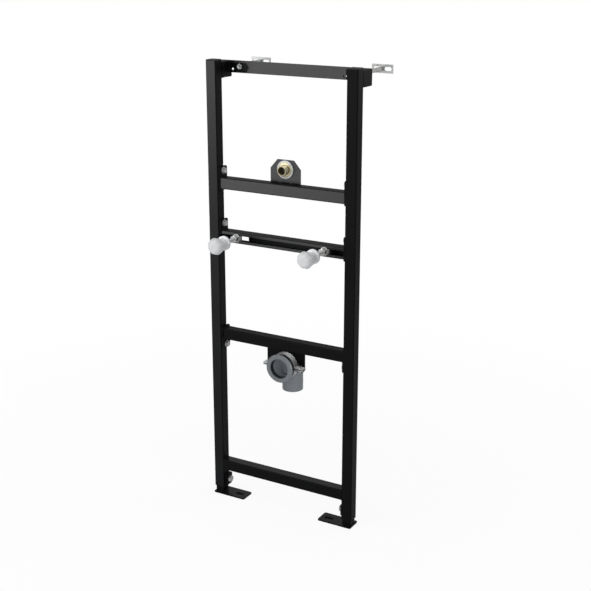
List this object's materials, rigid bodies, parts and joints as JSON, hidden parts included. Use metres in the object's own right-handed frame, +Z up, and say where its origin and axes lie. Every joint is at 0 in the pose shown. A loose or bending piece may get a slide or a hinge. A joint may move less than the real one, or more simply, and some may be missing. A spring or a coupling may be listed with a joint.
{
  "type": "urinal installation frame",
  "caption": "Black steel pre-wall frame for hanging a urinal, with crossbars, water inlet, hanger rail, waste elbow, wall brackets and telescopic feet.",
  "frame": {"origin": "on the floor, midway between the two foot plates, at mid-depth of the uprights", "axes": "+Z up, +X to the right as seen by someone facing the urinal, +Y towards the wall behind the frame"},
  "size_m": [0.43, 0.313, 1.2],
  "materials": {
    "black_coat": "semi-matt powder coat",
    "zinc": "bright zinc plated",
    "brass": "machined",
    "white_plastic": "moulded",
    "grey_plastic": "moulded",
    "seal_rubber": "matt",
    "black_plastic": "moulded"
  },
  "bodies": {
    "frame": {"bottom_bar": "black_coat", "fixing_rail": "black_coat", "fixing_rail_bolts": "zinc", "fixing_rail_end_plates": "black_coat", "inlet_bar": "black_coat", "inlet_bar_bolts": "zinc", "inlet_bar_end_plates": "black_coat", "inlet_fitting": "brass", "inlet_locknut": "brass", "inlet_plate": "black_coat", "left_bracket_bolt": "zinc", "left_hanger_cap": "white_plastic", "left_hanger_nuts": "zinc", "left_hanger_sleeve": "white_plastic", "left_hanger_stud": "zinc", "left_head_stub": "black_coat", "left_upright": "black_coat", "left_upright_cap": "black_plastic", "left_wall_bracket": "zinc", "leg_lock_bolts": "zinc", "leg_lock_plates": "black_coat", "pipe_clamp_lining": "seal_rubber", "pipe_clamp_lower": "zinc", "pipe_clamp_screws": "zinc", "pipe_clamp_upper": "zinc", "right_bracket_bolt": "zinc", "right_hanger_cap": "white_plastic", "right_hanger_nuts": "zinc", "right_hanger_sleeve": "white_plastic", "right_hanger_stud": "zinc", "right_head_stub": "black_coat", "right_upright": "black_coat", "right_upright_cap": "black_plastic", "right_wall_bracket": "zinc", "top_bar": "black_coat", "waste_bar": "black_coat", "waste_bar_bolts": "zinc", "waste_bar_end_plates": "black_coat", "waste_elbow": "grey_plastic", "waste_plate": "black_coat", "waste_seal": "seal_rubber"},
    "left_telescopic_leg": {"left_leg": "black_coat", "left_foot": "black_coat"},
    "right_telescopic_leg": {"right_leg": "black_coat", "right_foot": "black_coat"}
  },
  "joints": [
    {"name": "left_leg_slide", "type": "slide", "parent": "frame", "child": "left_telescopic_leg", "axis": [0, 0, -1], "range_m": [0, 0.2]},
    {"name": "right_leg_slide", "type": "slide", "parent": "frame", "child": "right_telescopic_leg", "axis": [0, 0, -1], "range_m": [0, 0.2]}
  ]
}
